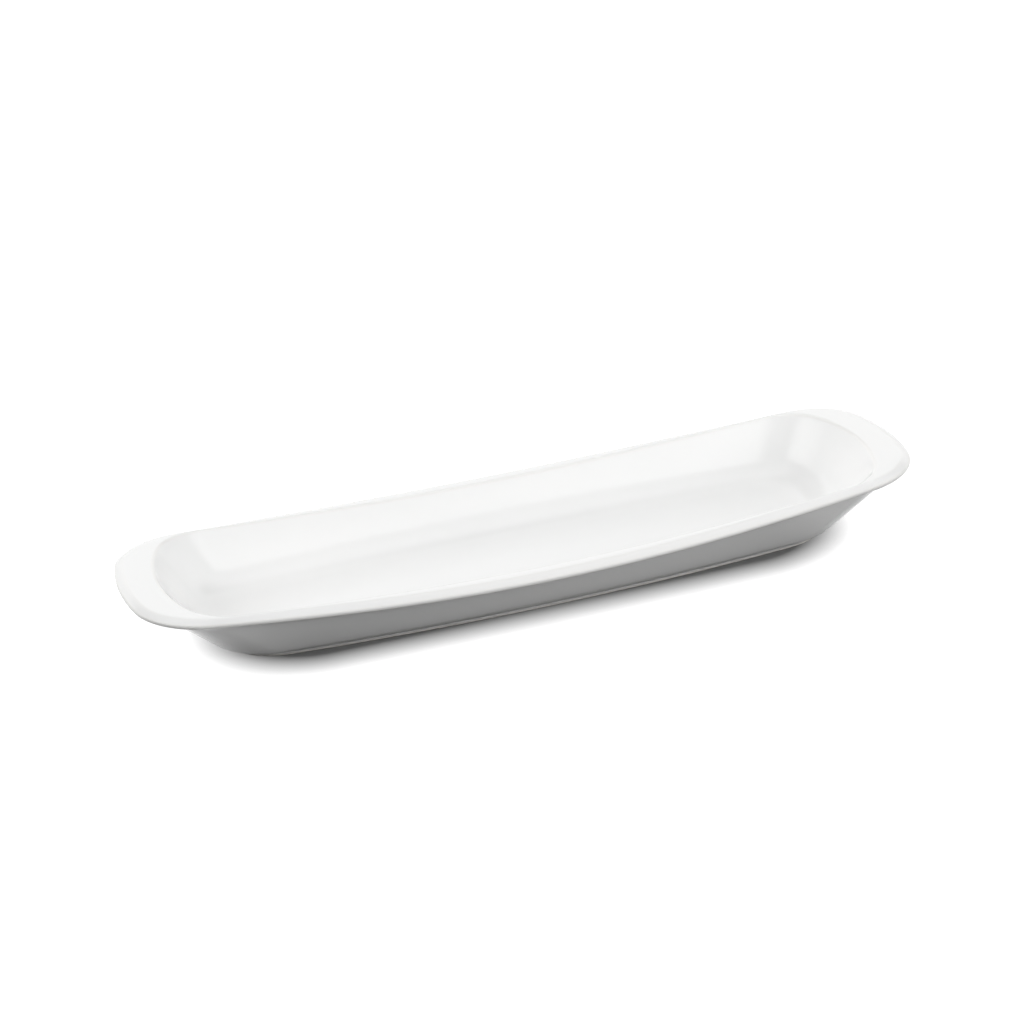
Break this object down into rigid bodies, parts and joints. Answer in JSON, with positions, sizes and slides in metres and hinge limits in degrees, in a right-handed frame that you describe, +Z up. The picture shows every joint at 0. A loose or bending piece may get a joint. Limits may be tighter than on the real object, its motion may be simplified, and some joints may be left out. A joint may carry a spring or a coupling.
{
  "type": "asparagus plate",
  "caption": "Long boat-shaped porcelain serving dish with a shallow well, a rim that rises into wide end lips, and a low foot ring.",
  "frame": {"origin": "on the table, under the middle of the plate", "axes": "+X along the length towards one end lip, +Y across the width, +Z up out of the well"},
  "size_m": [0.38, 0.125, 0.0351],
  "materials": {
    "porcelain_biscuit": "matt, unglazed, fine grained",
    "white_glaze": "clear gloss glaze over white porcelain"
  },
  "bodies": {
    "root": {"porcelain_body": "porcelain_biscuit", "glaze_coat": "white_glaze", "base_glaze": "white_glaze"}
  },
  "joints": []
}
